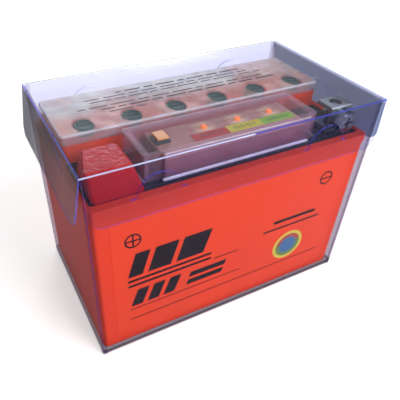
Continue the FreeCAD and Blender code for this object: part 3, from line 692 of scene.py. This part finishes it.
moulded_clear = (0.98, 0.98, 0.985, 1)
moulded_edge_on = (0.88, 0.88, 0.91, 1)
# Painted highlight: a milky near-white along the edges of the clear mouldings.
painted_edge_highlight = srgb(226, 230, 236)
dress("vent_cover", clear_material(
    "vent_clear", moulded_clear, moulded_edge_on, shine=0.2, ripple=0.12, ripple_scale=90.0, haze=0.02,
    # Painted sheen: salmon patches over the whole top, and grey-green ones towards its back.
    milky_zones=((painted_sheen_patches(70.0, 0.45), 0.45, srgb(244, 190, 168)),
                 (painted_sheen_patches(44.0, 0.3, back_only=True), 0.55, srgb(222, 232, 222)),
                 (upright_walls("vent_cover", 1.6 * millimetre), 0.25, srgb(190, 190, 196)),
                 (near_edges("vent_cover", 0.7 * millimetre), 0.45, painted_edge_highlight))))

# Each row of dashes has its front edge, its thickness, and the left end and length of each dash.
dash_rows = bmesh.new()
faces = []
for y, thickness, dashes in (
        (29.6, 1.1, (-34, 3, -29, 9, -18, 5, -11, 11, 2, 4, 8, 10, 20, 7, 29, 12)),
        (26.2, 0.8, (-52, 8, -42, 12, -28, 5, -21, 9, -10, 14, 6, 5, 13, 9, 24, 12, 38, 6)),
        (23.2, 0.8, (-50, 11, -37, 6, -29, 10, -17, 4, -11, 8, -1, 12, 13, 6, 21, 14, 37, 8, 47, 5)),
        (17.8, 0.9, (-58, 4, -52, 9, -41, 13, -26, 6, -18, 9, -7, 12, 7, 4, 13, 11, 26, 8, 36, 13)),
        (14.4, 1.1, (-47, 7, -38, 4, -32, 10, -20, 6, -12, 11, 1, 8, 11, 12, 25, 5, 32, 9, 43, 12)),
        (11.2, 0.8, (-44, 12, -30, 5))):
    for left, length in zip(dashes[::2], dashes[1::2]):
        faces.append(level_bar(dash_rows, left, left + length, y, thickness, vent_top))
raise_faces(dash_rows, faces, (0, 0, 0.04 * millimetre))
cover_ink = moulded_material("cover_ink", srgb(48, 42, 46), roughness=0.5, tone_drift=0.3, grain_size=900.0,
                             shader_values={"Alpha": 0.9, "Specular IOR Level": 0.1})
to_piece(dash_rows, "vent_cover_print", [cover_ink], "vent_cover")


# Cover and housing of the voltage indicator.
# The cover is a second stiff clear moulding between the terminals, with a white highlight painted along its
# foot and painted highlights along its edges. The housing inside it is translucent, tinted a dusty red, and
# holds the board.
cover_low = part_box("indicator_cover")[0]


# A white highlight painted along the cover's foot.
def painted_foot_highlight(tree, place):
    return product(tree, below(tree, place, 2, cover_low.z + 1.2 * millimetre),
                   below(tree, place, 1, cover_low.y + 0.9 * millimetre))


dress("indicator_cover", clear_material(
    "indicator_clear", moulded_clear, moulded_edge_on, shine=0.25, ripple=0.12, ripple_scale=90.0, haze=0.02,
    milky_zones=((upright_walls("indicator_cover", 3.8 * millimetre), 0.2, srgb(208, 150, 168)),
                 (near_edges("indicator_cover", 0.8 * millimetre), 0.45, painted_edge_highlight),
                 (painted_foot_highlight, 0.95, srgb(250, 250, 255)))))
dress("indicator_housing", clear_material(
    "housing_tinted", (0.93, 0.80, 0.84, 1), (0.6, 0.4, 0.45, 1), shine=0.4, ripple=0.1, ripple_scale=160.0,
    haze=0.3, haze_colour=srgb(206, 84, 96), roughness=0.12))


# Box tray.
# Folded from thin clear sheet with a faint blue cast, which shines deep blue where the sheet is folded or
# cut. Half-moon slits are cut in its walls. Painted shade darkens its side walls, the right more than the
# left, and its walls near the foot.
tray_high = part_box("box_tray")[1]
fold_width = 0.42 * millimetre
fold_blue = (0.18, 0.22, 0.88, 1)
sheet_values = dict(shine=0.08, ripple_scale=28.0, haze=0.006, haze_colour=srgb(150, 156, 225))
cut_edge = moulded_material("cut_edge", srgb(66, 82, 224), roughness=0.2, tone_drift=0.1, grain_size=1600.0,
                            rubbing=0.1, bump=0.05, shader_values={"Alpha": 0.55})


def on_side(tree, place, side, axis=0):
    # 1 on the half of the box that lies to one side of its middle.
    lower = below(tree, place, axis, 0.0)
    return opposite(tree, lower) if side > 0 else lower


def near_tray_corners(width):
    return lambda tree, place: product(tree, beyond(tree, place, 0, tray_high.x - width),
                                       beyond(tree, place, 1, tray_high.y - width))


def tray_foot_painted_shade(tree, place):
    # Painted shade darkens the walls within a few millimetres of the foot. The sheet is folded under there.
    return product(tree, opposite(tree, beyond(tree, place, 2, 3.0 * millimetre)),
                   beyond(tree, place, 2, 0.45 * millimetre))


def painted_shade_tray_side(side):
    return lambda tree, place: product(tree, on_side(tree, place, side),
                                       beyond(tree, place, 0, tray_high.x - 0.6 * millimetre))


def is_cut_face(face, high):
    # A cut face runs through the sheet, so its normal lies in the sheet's own plane.
    centre, normal = face.center, face.normal
    if centre.z > high.z - 0.2 * millimetre or centre.z < 1.5 * millimetre:
        return False
    on_side_wall = (abs(centre.x) > high.x - 5.5 * millimetre
                    and abs(centre.x) / high.x > abs(centre.y) / high.y)
    return abs(normal.x) < 0.5 if on_side_wall else abs(normal.y) < 0.5


dress("box_tray", clear_material(
    "tray_film", (0.95, 0.95, 0.965, 1), (0.78, 0.74, 0.78, 1), ripple=0.1, roughness=0.06,
    # Painted shade: the side walls are tinted darker, the right one more than the left.
    tinted_zones=((painted_shade_tray_side(-1), (0.94, 0.88, 0.88, 1)), (painted_shade_tray_side(1), (0.72, 0.68, 0.72, 1)),
                  # Painted shade near the foot.
                  (tray_foot_painted_shade, (0.60, 0.57, 0.60, 1)),
                  (near_tray_corners(2.5 * millimetre), (0.86, 0.84, 0.88, 1)),
                  (near_tray_corners(fold_width), fold_blue)),
    milky_zones=((near_tray_corners(fold_width), 0.6, srgb(58, 66, 222)),), **sheet_values), cut_edge)
slit_low, slit_high, largest_slit_face = 94.0 * millimetre, 106.0 * millimetre, 3e-6
for face in nodes["box_tray"].data.polygons:
    by_slit = slit_low < face.center.z < slit_high and face.area < largest_slit_face
    face.material_index = int(by_slit and is_cut_face(face, tray_high))


# Box lid.
# The same sheet, folded into a level top with four flaps that hang outside the tray. The top mirrors the
# room. Painted shade darkens the side flaps, towards the back on the left and towards the front on the
# right, and a faint pinkish sheen is painted on the left flap.
lid_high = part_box("box_lid")[1]
lid_overlap = 0.8 * millimetre
lid_fold_x = tray_high.x + lid_overlap
lid_fold_y = tray_high.y + lid_overlap


def lid_side(side):
    def zone(tree, place):
        return product(tree, on_side(tree, place, side),
                       opposite(tree, beyond(tree, place, 2, lid_high.z - 0.4 * millimetre)),
                       beyond(tree, place, 0, lid_fold_x - 0.2 * millimetre))

    return zone


def lid_left_back_painted_shade(tree, place):
    return product(tree, lid_side(-1)(tree, place),
                   fade(tree, place, 1, -25.0 * millimetre, 30.0 * millimetre))


def lid_right_front_painted_shade(tree, place):
    return product(tree, lid_side(1)(tree, place),
                   fade(tree, place, 1, 35.0 * millimetre, -20.0 * millimetre))


def lid_front(tree, place):
    return beyond(tree, place, 1, lid_fold_y - 0.2 * millimetre)


def lid_folds(tree, place):
    return product(tree, beyond(tree, place, 2, lid_high.z - fold_width),
                   larger(tree, beyond(tree, place, 0, lid_fold_x - fold_width),
                          beyond(tree, place, 1, lid_fold_y - fold_width)))


def long_fold(tree, place, side, width):
    return product(tree, beyond(tree, place, 2, lid_high.z - 0.4 * millimetre),
                   beyond(tree, place, 1, lid_fold_y - width), on_side(tree, place, side, 1))


def front_fold_painted_highlight(tree, place):
    # A near-white highlight is painted along the left half of the front fold.
    return product(tree, long_fold(tree, place, -1, 0.4 * millimetre), on_side(tree, place, -1))


def back_fold(tree, place):
    return long_fold(tree, place, 1, 1.2 * millimetre)


dress("box_lid", clear_material(
    "lid_film", (0.95, 0.955, 0.985, 1), (0.84, 0.86, 0.93, 1), ripple=0.25, roughness=0.09,
    # Painted shade: the side flaps are tinted darker, the left towards the back and the right towards the
    # front.
    tinted_zones=((lid_front, (0.96, 0.95, 1.0, 1)), (lid_side(-1), (0.86, 0.80, 0.80, 1)),
                  (lid_left_back_painted_shade, (0.42, 0.47, 0.48, 1)), (lid_side(1), (0.60, 0.66, 0.70, 1)),
                  (lid_right_front_painted_shade, (0.84, 0.84, 0.88, 1)), (lid_folds, fold_blue)),
    # A faint pinkish sheen is painted on the left flap.
    milky_zones=((lid_side(-1), 0.08, srgb(224, 190, 184)), (lid_folds, 0.5, srgb(56, 78, 222)),
                 # Painted highlight along the left half of the front fold.
                 (front_fold_painted_highlight, 0.7, srgb(216, 226, 255)), (back_fold, 0.85, srgb(150, 158, 160))),
    level_shine=0.26, level_height=lid_high.z - 1.0 * millimetre,
    matt_zone=lambda tree, place: larger(tree, lid_folds(tree, place), back_fold(tree, place)),
    **sheet_values), cut_edge)
below_top = 1.1 * millimetre
for face in nodes["box_lid"].data.polygons:
    face.material_index = int(is_cut_face(face, lid_high) and face.center.z < lid_high.z - below_top)
